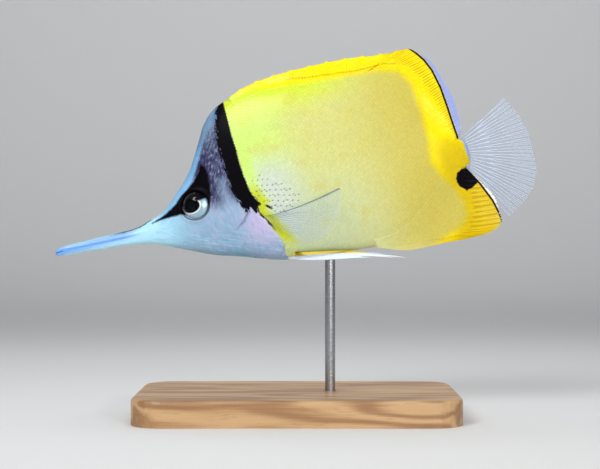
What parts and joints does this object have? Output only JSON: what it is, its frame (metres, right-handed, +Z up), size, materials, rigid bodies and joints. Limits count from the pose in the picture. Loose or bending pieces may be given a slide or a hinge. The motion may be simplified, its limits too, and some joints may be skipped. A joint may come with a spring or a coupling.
{
  "type": "big longnose butterflyfish",
  "caption": "Still life-size model of a big longnose butterflyfish swimming nose down, with a tube-like snout, full fins and a rod and base to hold it.",
  "frame": {"origin": "centre of the underside of the stand's base, under the middle of the fish's length", "axes": "+Z up, -X towards the tip of the snout, -Y on the fish's left side; the fish's midline lies in the XZ plane"},
  "size_m": [0.1888, 0.072, 0.1432],
  "materials": {
    "snout_skin": "wet pale blue skin",
    "head_skin": "wet silvery lavender skin with a black nape band",
    "eye": "glassy dark eye with a silver iris",
    "yellow_scales": "satin overlapping yellow scales",
    "yellow_fin": "deep yellow membrane with raised rays",
    "clear_fin": "clear membrane with pale rays",
    "pelvic_fin": "white and yellow membrane with raised rays",
    "stand_wood": "satin varnished pale wood",
    "stand_steel": "brushed"
  },
  "bodies": {
    "root": {"snout": "snout_skin", "head": "head_skin", "gill_cover_left": "head_skin", "gill_cover_right": "head_skin", "eye_left": "eye", "eye_right": "eye", "trunk": "yellow_scales", "tail_stalk": "yellow_scales", "dorsal_fin_spiny": "yellow_fin", "dorsal_fin_soft": "yellow_fin", "anal_fin": "yellow_fin", "caudal_fin": "clear_fin", "pectoral_fin_left": "clear_fin", "pectoral_fin_right": "clear_fin", "pelvic_fin_left": "pelvic_fin", "pelvic_fin_right": "pelvic_fin", "stand_base": "stand_wood", "stand_rod": "stand_steel"}
  },
  "joints": []
}
